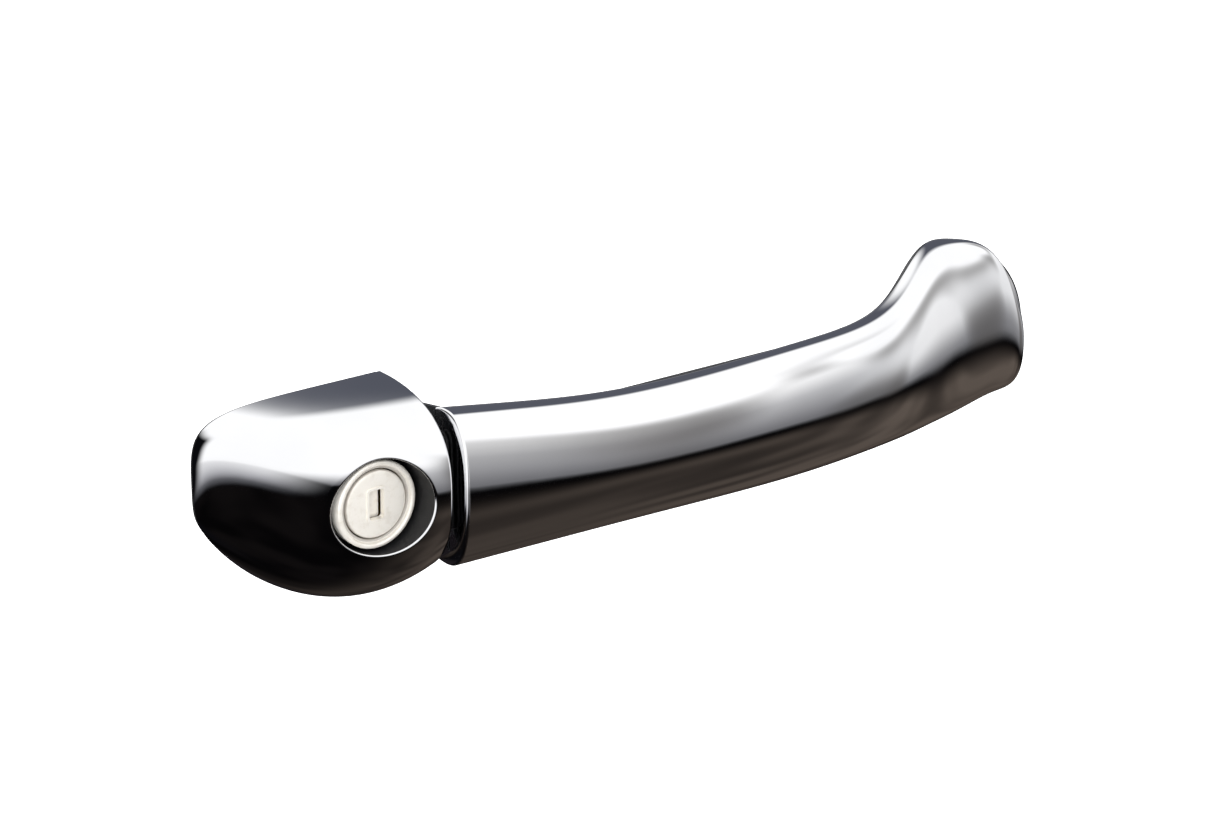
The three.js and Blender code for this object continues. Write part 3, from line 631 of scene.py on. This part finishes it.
face = turned("plug_face_turned", [
    (0.02, 0.50), (6.9, 0.50), (7.35, 0.54), (7.6, 0.66), (PLUG_R, 0.85), (PLUG_R, 1.7), (0.02, 1.7),
], (LOCK_X, LOCK_FACE, 0), steps=128)


def rounded_bar(half_width, half_height, corner, y, steps=9):
    """A bar along Y with a rounded rectangular section, about the lock axis."""
    outline = []
    for sx, sz, start in ((1, 1, 0), (-1, 1, 90), (-1, -1, 180), (1, -1, 270)):
        for a in np.radians(np.linspace(start, start + 90, steps)):
            outline.append((LOCK_X + sx * (half_width - corner) + corner * np.cos(a),
                            sz * (half_height - corner) + corner * np.sin(a)))
    return loft("bar", [[(x, depth, z) for x, z in outline] for depth in y])


carve(face, rounded_bar(*KEYHOLE, 0.7, (-40, 0)))
rim = rounded_bar(KEYHOLE[0] + 0.55, KEYHOLE[1] + 0.55, 1.1, (LOCK_FACE + 0.22, LOCK_FACE + 1.2))
carve(rim, rounded_bar(KEYHOLE[0] + 0.02, KEYHOLE[1] + 0.02, 0.7, (-40, 0)))
carve(face, rim, "UNION")
finish_piece(tidy(face, 30.0), "plug_face", "plug", nickel)

hinge_y, hinge_z = LOCK_FACE + 3.4, 4.2
flap = rounded_bar(1.68, 3.5, 0.5, (hinge_y - 1.05, hinge_y - 0.15))
for vertex in flap.data.vertices:
    vertex.co.z -= 0.1 * MM
carve(flap, bar((LOCK_X - 1.7, hinge_y, hinge_z), 3.4, 1.05, "x"), "UNION")
carve(flap, bar((LOCK_X - 3, hinge_y, hinge_z), 6, 0.6, "x"))
flap.name = "key_shutter_pressed"
finish_piece(tidy(flap, 30.0), "key_shutter", "shutter", nickel)


# ---- Lock body ----------------------------------------------------------------------
# The cast housing is clamped in the carrier by a grub-like screw in its dimple. Inside it
# turn the brass plug with its wafers and, on the plug's tail, the lever for the latch rod.
def cast_zinc():
    """Raw zinc casting: mottled grey with a fine skin."""
    material, place = new_material("cast_zinc")
    mottle, skin = noise(place, 160.0, 5.0, 0.6), noise(place, 2200.0, 3.0)
    shade = mottle.ramp(0.3, 0.7).blend((0.36, 0.365, 0.375), (0.50, 0.50, 0.505))
    surface(place, shade, 0.38 + mottle * 0.2, 0.9, skin, 0.35, 8e-5)
    return material


def plated_steel():
    """Zinc-plated steel: slightly yellow, with cloudy passivation and fine turning marks."""
    material, place = new_material("plated_steel")
    cloud, lines = noise(place, 240.0, 4.0), noise(place, 3000.0, 2.0)
    shade = cloud.ramp(0.35, 0.7).blend((0.56, 0.55, 0.50), (0.70, 0.67, 0.56))
    surface(place, shade, 0.24 + cloud * 0.16, 1.0, lines, 0.2, 4e-5)
    return material


def machined_brass():
    """Machined brass, dulled in patches by handling."""
    material, place = new_material("machined_brass")
    tarnish, lines = noise(place, 200.0, 5.0, 0.65), noise(place, 2600.0, 2.0)
    shade = tarnish.ramp(0.4, 0.75).blend((0.72, 0.53, 0.22), (0.42, 0.28, 0.11))
    surface(place, shade, 0.22 + tarnish * 0.25, 1.0, lines, 0.2, 4e-5)
    return material


def spring_wire():
    """Oil-tempered spring wire: dark, with drawing lines and a film of oil."""
    material, place = new_material("spring_wire")
    film = noise(place, 700.0, 4.0)
    shade = film.ramp(0.3, 0.7).blend((0.10, 0.10, 0.105), (0.24, 0.23, 0.225))
    surface(place, shade, 0.22 + film * 0.2, 1.0, film, 0.15, 4e-5)
    return material


zinc, steel, brass, wire = cast_zinc(), plated_steel(), machined_brass(), spring_wire()


def softened(name, node, width=0.3, limit=30.0):
    """A copy of a CAD node with its flat faces joined up and its edges rounded."""
    piece = bpy.data.objects.new(name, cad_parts[node].data.copy())
    bpy.context.scene.collection.objects.link(piece)
    made = bmesh.new()
    made.from_mesh(piece.data)
    bmesh.ops.remove_doubles(made, verts=made.verts, dist=1e-6)
    bmesh.ops.dissolve_limit(made, angle_limit=math.radians(1.0), verts=made.verts, edges=made.edges)
    made.to_mesh(piece.data)
    made.free()
    bevel = piece.modifiers.new("bevel", "BEVEL")
    bevel.width = width * MM
    bevel.segments = 3
    bevel.limit_method = "ANGLE"
    bevel.angle_limit = math.radians(limit)
    graph = bpy.context.evaluated_depsgraph_get()
    graph.update()
    result = bpy.data.meshes.new_from_object(piece.evaluated_get(graph))
    piece.modifiers.clear()
    piece.data = result
    return tidy(piece, 40.0)


start, end = LOCK_FACE + 3.3, 20.0
FLANGE_R = 12.5
housing = turned("lock_housing_cast", [
    (PLUG_R + 0.3, start), (9.7, start), (RING_R, start + 0.3), (RING_R, start + 2.8),
    (9.8, start + 3), (8.8, start + 3),
    (8.8, start + 5), (9.8, start + 5), (RING_R, start + 5.2), (RING_R, 4),
    (FLANGE_R - 0.3, 4), (FLANGE_R, 4.3),
    (FLANGE_R, 8.7), (FLANGE_R - 0.3, 9), (RING_R, 9), (RING_R, end - 0.4), (9.6, end), (PLUG_R + 0.3, end),
], (LOCK_X, 0, 0), steps=128)
carve(housing, bar((LOCK_X - FLANGE_R - 3, 6.5, 0), 4.8, 2.4, "x"))
carve(housing, block((LOCK_X + 8.2, LOCK_X + 9.6), (end - 1, end + 3.4), (-1.6, 1.6)), "UNION")
finish_piece(tidy(housing), "lock_housing", "carrier", zinc)

for node, body, slot, material, width in (
        ("lock_plug", "plug", "brass", brass, 0.15), ("wafer_1", "plug", "brass", brass, 0.08),
        ("wafer_2", "plug", "brass", brass, 0.08), ("wafer_3", "plug", "brass", brass, 0.08),
        ("wafer_4", "plug", "brass", brass, 0.08), ("lock_lever", "plug", "steel", steel, 0.25)):
    finish_piece(softened(node + "_cut", node, width), node, body, material)

shutter_pin = turned("shutter_pin_turned", [
    (1e-3, 0), (0.4, 0), (0.5, 0.1), (0.5, 7.7), (0.4, 7.8), (1e-3, 7.8)],
    (LOCK_X - 3.9, hinge_y, hinge_z), "x", 24)
finish_piece(shutter_pin, "shutter_pin", "plug", steel)


# ---- Clips, pins and screws ---------------------------------------------------------
# Zinc-plated pins with turned heads, held by spring-steel clips; pan-head screws with
# hexagon sockets, two of them in brass inserts.
def pin(name, node, axis, at, length, radius=2.3, head=3.6):
    profile = [(1e-3, -1.2), (head - 0.35, -1.2), (head, -0.85), (head, -0.15), (head - 0.15, 0), (radius, 0),
               (radius, length - 0.4), (radius - 0.4, length), (1e-3, length)]
    finish_piece(turned(name, profile, at, axis, 64), node, "carrier", steel)


def clip(name, node, body, axis, at, inner, outer, mouth):
    """A flat snap ring, open on one side, with rounded edges."""
    profile = [(inner, 0.1), (inner + 0.1, 0), (outer - 0.15, 0), (outer, 0.15), (outer, 0.65),
               (outer - 0.15, 0.8),
               (inner + 0.1, 0.8), (inner, 0.7)]
    piece = carve(turned(name, profile, at, axis, 72), block(*mouth))
    finish_piece(tidy(piece), node, body, wire)


def screw(name, node, body, axis, at, head, length, radius, way=1):
    """A pan-head screw with a threaded shank and a hexagon socket."""
    thick, wide = head
    profile = [(1e-3, 0), (wide * 0.72, 0), (wide * 0.93, thick * 0.22), (wide, thick * 0.6), (wide, thick),
               (radius, thick)]
    for turn in np.arange(thick + 0.3, length - 0.3, 0.7):
        profile += [(radius, turn), (radius - 0.28, turn + 0.35)]
    profile += [(radius - 0.5, length), (1e-3, length)]
    profile = [(r, h * way) for r, h in profile]
    piece = turned(name, profile, at, axis, 48)
    depth = thick * 0.6
    low = {"x": (-1, 0, 0), "y": (0, -1, 0)}[axis] if way > 0 else (0, -depth, 0)
    carve(piece, turned("hexagon", [(1e-3, 0), (wide * 0.5, 0), (wide * 0.5, 1 + depth), (1e-3, 1 + depth)],
                        np.add(at, low), axis, 6))
    finish_piece(tidy(piece), node, body, steel)


PIVOT = (191.0, 9.0)
CRANK = (14.0, -14.0)
pin("pivot_pin_turned", "pivot_pin", "z", (*PIVOT, -18.3), 19.6)
pin("crank_pin_turned", "crank_pin", "x", (4.3, *CRANK), 21.0)
clip("pivot_clip_pressed", "pivot_clip", "carrier", "z", (*PIVOT, -0.4), 2.5, 4.2,
     ((183, 191), (7.5, 10.5), (-3, 3)))
clip("crank_clip_pressed", "crank_clip", "carrier", "x", (23.8, *CRANK), 2.5, 4.2,
     ((22, 26), (12.5, 15.5), (-22, -14)))
clip("lock_lever_clip_pressed", "lock_lever_clip", "plug", "y", (LOCK_X, 30.7, 0), 3.15, 5.4,
     ((LOCK_X - 6, LOCK_X + 6), (20, 34), (2, 8)))
screw("clamp_screw_cut", "clamp_screw", "carrier", "x", (-40, 6.5, 0), (2.4, 3.8), 13.8, 1.9)
screw("skin_screw_cut", "skin_screw", "carrier", "y", (-30, OUTER - 2.3, 9.5), (2.2, 4.0), 10.1, 1.9)
for number, (x, y) in enumerate(LINER_SCREWS):
    node = f"liner_screw_{number + 1}"
    screw(node + "_cut", node, "grip", "y", (x, y, 0), (1.2, 3.2), 9.1, 1.5, -1)


def knurled_insert(name, node, axis, at, length):
    profile = [(2.2, 0.2), (2.4, 0), (2.9, 0), (3.1, 0.2)]
    for step in np.linspace(0.6, length - 0.6, 7):
        profile += [(3.1, step - 0.15), (2.95, step), (3.1, step + 0.15)]
    profile += [(3.1, length - 0.2), (2.9, length), (2.4, length), (2.2, length - 0.2)]
    finish_piece(turned(name, profile, at, axis, 48), node, "carrier", brass)


knurled_insert("clamp_insert_turned", "clamp_insert", "x", (-36.2, 6.5, 0), 7.0)
knurled_insert("skin_insert_turned", "skin_insert", "y", (-30, 0.3, 9.5), 5.8)


# ---- Return springs -----------------------------------------------------------------
# One torsion spring turns the bell crank back and one centres the lock plug. An end of
# each bears on a fixed piece and the other end moves.
def wire_sweep():
    """Geometry nodes that draw a round wire along a line of points."""
    group = bpy.data.node_groups.new("wire_sweep", "GeometryNodeTree")
    interface = group.interface
    interface.new_socket("Line", in_out="INPUT", socket_type="NodeSocketGeometry")
    radius = interface.new_socket("Wire Radius", in_out="INPUT", socket_type="NodeSocketFloat")
    sides = interface.new_socket("Sides", in_out="INPUT", socket_type="NodeSocketInt")
    finish = interface.new_socket("Material", in_out="INPUT", socket_type="NodeSocketMaterial")
    interface.new_socket("Wire", in_out="OUTPUT", socket_type="NodeSocketGeometry")
    nodes, links = group.nodes, group.links
    given, made = nodes.new("NodeGroupInput"), nodes.new("NodeGroupOutput")
    curve, circle = nodes.new("GeometryNodeMeshToCurve"), nodes.new("GeometryNodeCurvePrimitiveCircle")
    sweep, real = nodes.new("GeometryNodeCurveToMesh"), nodes.new("GeometryNodeRealizeInstances")
    paint = nodes.new("GeometryNodeSetMaterial")
    sweep.inputs["Fill Caps"].default_value = True
    links.new(given.outputs["Line"], curve.inputs[0])
    links.new(given.outputs["Sides"], circle.inputs["Resolution"])
    links.new(given.outputs["Wire Radius"], circle.inputs["Radius"])
    links.new(curve.outputs[0], sweep.inputs["Curve"])
    links.new(circle.outputs[0], sweep.inputs["Profile Curve"])
    links.new(sweep.outputs[0], real.inputs[0])
    links.new(real.outputs[0], paint.inputs["Geometry"])
    links.new(given.outputs["Material"], paint.inputs["Material"])
    links.new(paint.outputs[0], made.inputs[0])
    return group, (radius.identifier, sides.identifier, finish.identifier)


SWEEP, (RADIUS_INPUT, SIDES_INPUT, MATERIAL_INPUT) = wire_sweep()


def swept(name, points, radius, material, sides=14):
    """A wire along points in millimetres, as a plain mesh."""
    mesh = bpy.data.meshes.new(name)
    links = [(i, i + 1) for i in range(len(points) - 1)]
    mesh.from_pydata([tuple(p) for p in np.asarray(points) * MM], links, [])
    piece = bpy.data.objects.new(name, mesh)
    bpy.context.scene.collection.objects.link(piece)
    modifier = piece.modifiers.new("wire", "NODES")
    modifier.node_group = SWEEP
    modifier[RADIUS_INPUT] = radius * MM
    modifier[SIDES_INPUT] = sides
    modifier[MATERIAL_INPUT] = material
    graph = bpy.context.evaluated_depsgraph_get()
    graph.update()
    result = bpy.data.meshes.new_from_object(piece.evaluated_get(graph))
    piece.modifiers.clear()
    piece.data = result
    return tidy(piece, 50.0)


def coil(axis, at, radius, turns, pitch, legs, steps=32):
    """Points of a coil about an axis, between the points of its two legs."""
    count = int(abs(turns) * steps)
    a = 2 * np.pi * turns * np.linspace(0, 1, count + 1)
    body = np.stack([radius * np.cos(a), pitch * turns * np.linspace(0, 1, count + 1), radius * np.sin(a)], 1)
    first, last = ease(np.vstack([legs[0], body[:1]])), ease(np.vstack([body[-1:], legs[1]]))
    local = np.concatenate([first, body[1:-1], last])
    if axis == "x":
        local = np.stack([local[:, 1], -local[:, 0], local[:, 2]], 1)
    return local + np.array(at)


def ease(points, steps=8):
    """Rounds the corners of a few points into a flowing line."""
    ends = np.vstack([2 * points[0] - points[1], points, 2 * points[-1] - points[-2]])
    line = []
    for k in range(len(points) - 1):
        for f in np.linspace(0, 1, steps, endpoint=False):
            a, b, c, d = ends[k:k + 4]
            line.append(0.5 * (2 * b + (c - a) * f + (2 * a - 5 * b + 4 * c - d) * f * f
                               + (3 * b - a - 3 * c + d) * f ** 3))
    return np.array(line + [points[-1]])


crank_coil = coil("x", (9.2, *CRANK), 6.2, -4.25, -1.4, (
    [(6.2, -4.2, 8), (6.2, -0.7, 7.6), (6.2, -0.1, 4)],
    [(-4, 5.9, -6.3), (-7.4, 5.9, -6.9), (-7.6, 5.9, -10)]))
plug_coil = coil("y", (LOCK_X, 21, 0), 5.7, 3.5, 1.3, (
    [(8.2, 0.2, -5.4), (6.2, 0, -2.6)], [(-5.4, 4.7, 3), (-6.2, 4.9, 6.2)]))
for name, node, points, other, start, end in (
        ("crank_spring_wound", "crank_spring", crank_coil, "crank", (0.0080, 0, 0), (0.0150, 0, 0)),
        ("plug_spring_wound", "plug_return_spring", plug_coil, "plug", (0, 0.0205, 0), (0, 0.0265, 0))):
    spring = swept(name, points, 0.5, wire)
    spring.data.materials.clear()
    spring.data.materials.append(wire)
    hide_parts(node)
    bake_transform(spring)


# ---- Seals --------------------------------------------------------------------------
# Moulded rubber: a ring under the cap, one under the foot and one round the leg's opening,
# an O-ring in the lock housing's groove and a pad that cushions the grip at the seam.
def black_rubber():
    """Moulded rubber: matt black, slightly bloomed, with a fine grain."""
    material, place = new_material("black_rubber")
    bloom, grain = noise(place, 90.0, 5.0, 0.6), noise(place, 2500.0, 2.0)
    shade = bloom.ramp(0.4, 0.8).blend((0.009, 0.009, 0.010), (0.022, 0.022, 0.023))
    surface(place, shade, 0.62 + bloom * 0.25, 0.0, grain, 0.4, 8e-5)
    return material


rubber = black_rubber()


def flat_ring(name, outer, inner, bottom, top, edge=0.25):
    """A flat ring between two closed outlines of (x, z), with rounded edges."""
    outer, inner = np.asarray(outer), np.asarray(inner)
    side = (outer - inner) / np.linalg.norm(outer - inner, axis=1)[:, None]
    layers = [
        (outer - side * edge, bottom), (outer, bottom + edge), (outer, top - edge),
        (outer - side * edge, top), (inner + side * edge, top), (inner, top - edge),
        (inner, bottom + edge), (inner + side * edge, bottom)]
    points = np.concatenate([np.insert(line, 1, y, axis=1) for line, y in layers])
    count, faces = len(outer), []
    for i in range(len(layers)):
        for j in range(count):
            k, following = (j + 1) % count, (i + 1) % len(layers)
            faces.append((i * count + j, i * count + k, following * count + k, following * count + j))
    return to_object(name, points, faces)


def cap_outline(inset, rays=240):
    """The cap's outline on the door, drawn in by an inset, as seen from the lock."""
    spin = np.linspace(0, 2 * np.pi, rays, endpoint=False)
    near, far = np.full(rays, 5.0), np.full(rays, 70.0)
    for _ in range(40):
        middle = (near + far) / 2
        x, z = LOCK_X + np.cos(spin) * middle, np.sin(spin) * middle
        inside = (x < -inset + 0.1) & (cap_face(x, z, inset) < OUTER - 0.8)
        near, far = np.where(inside, middle, near), np.where(inside, far, middle)
    return np.stack([LOCK_X + np.cos(spin) * near, np.sin(spin) * near], 1)


seal_low, seal_high = OUTER - 1.0, OUTER
cap_seal = flat_ring("cap_seal_moulded", cap_outline(0.4), cap_outline(3.6), seal_low, seal_high)
carve(cap_seal, block((-43.5, -38), (-5, 5), (-3.4, 3.4)))
finish_piece(tidy(cap_seal), "cap_seal", "carrier", rubber)

turn = np.linspace(0, 2 * np.pi, 160, endpoint=False)
foot_seal = flat_ring("foot_seal_moulded",
                      grip_arc(1.0, turn, 0.4)[:, [0, 2]], grip_arc(1.0, turn, 2.6)[:, [0, 2]],
                      seal_low, seal_high)
finish_piece(foot_seal, "foot_seal", "carrier", rubber)

finish_piece(softened("leg_seal_moulded", "leg_seal", 0.25), "leg_seal", "carrier", rubber)
finish_piece(softened("seam_buffer_moulded", "seam_buffer", 0.2), "seam_buffer", "carrier", rubber)
seal_at = LOCK_FACE + 6.6
bead = [(10.0 + 0.7 * np.cos(a), seal_at + 0.7 + 0.68 * np.sin(a))
        for a in np.linspace(0, 2 * np.pi, 20, endpoint=False)]
finish_piece(turned("lock_seal_moulded", bead, (LOCK_X, 0, 0), steps=128),
             "lock_seal_ring", "carrier", rubber)


# ---- Carrier and leg ----------------------------------------------------------------
# Glass-filled nylon: the carrier behind the door skin with its ribs, ears and lugs, the
# grip's leg with its fork, and the pivot arm with its acetal bush.
nylon = moulded_black("nylon_black", (0.020, 0.021, 0.023), 0.42, 900.0, 2.5e-4)


def white_acetal():
    """Natural acetal: off-white and waxy."""
    material, place = new_material("white_acetal")
    cloud, grain = noise(place, 120.0, 4.0), noise(place, 1800.0)
    shade = cloud.ramp(0.3, 0.7).blend((0.70, 0.68, 0.61), (0.78, 0.76, 0.70))
    surface(place, shade, 0.3 + cloud * 0.15, 0.0, grain, 0.2, 5e-5)
    return material


acetal = white_acetal()
finish_piece(softened("carrier_moulded", "carrier_frame", 0.3),
             "carrier_frame", "carrier", nylon)
finish_piece(softened("pull_leg_moulded", "pull_leg", 0.35), "pull_leg", "grip", nylon)
finish_piece(softened("pivot_arm_moulded", "pivot_arm", 0.4), "pivot_arm", "grip", nylon)
finish_piece(softened("cable_clip_moulded", "cable_clip", 0.2), "cable_clip", "carrier", acetal)
bush = turned("pivot_bush_turned", [
    (2.4, 0.25), (2.65, 0), (3.35, 0), (3.6, 0.25), (3.6, 8.75), (3.35, 9.0), (2.65, 9.0), (2.4, 8.75)],
    (*PIVOT, -13.5), "z", 64)
finish_piece(bush, "pivot_bush", "grip", acetal)


# ---- Bell crank ---------------------------------------------------------------------
# A zinc lever on the crank pin: the leg's fork lifts its steel finger, its notch pulls the
# latch cable, and a riveted weight keeps it shut in a side impact.
finish_piece(softened("crank_lever_cast", "crank_lever", 0.3), "crank_lever", "crank", zinc)
finish_piece(softened("counterweight_cast", "counterweight", 0.5), "counterweight", "crank", zinc)
tip = (CRANK[0] + 17.7 * math.sin(math.radians(38)), CRANK[1] + 17.7 * math.cos(math.radians(38)))
finger = turned("crank_finger_turned", [
    (1e-3, 9.6), (2.0, 9.6), (2.2, 9.8), (2.2, 15.8), (2.1, 15.9), (1.6, 15.9), (1.6, 19.3),
    (2.4, 19.3), (2.6, 19.5),
    (2.5, 19.95), (1.8, 20.1), (1e-3, 20.1)], (0, *tip), "x", 48)
finish_piece(finger, "crank_finger", "crank", steel)
rivet = turned("counterweight_rivet_turned", [
    (1e-3, 7.4), (1.6, 7.45), (2.5, 7.75), (2.8, 8.1), (2.8, 8.3), (1.5, 8.3), (1.5, 19.3),
    (2.8, 19.3), (2.8, 19.5),
    (2.5, 19.85), (1.6, 20.15), (1e-3, 20.2)], (0, CRANK[0], CRANK[1] - 11.5), "x", 48)
finish_piece(rivet, "counterweight_rivet", "crank", steel)
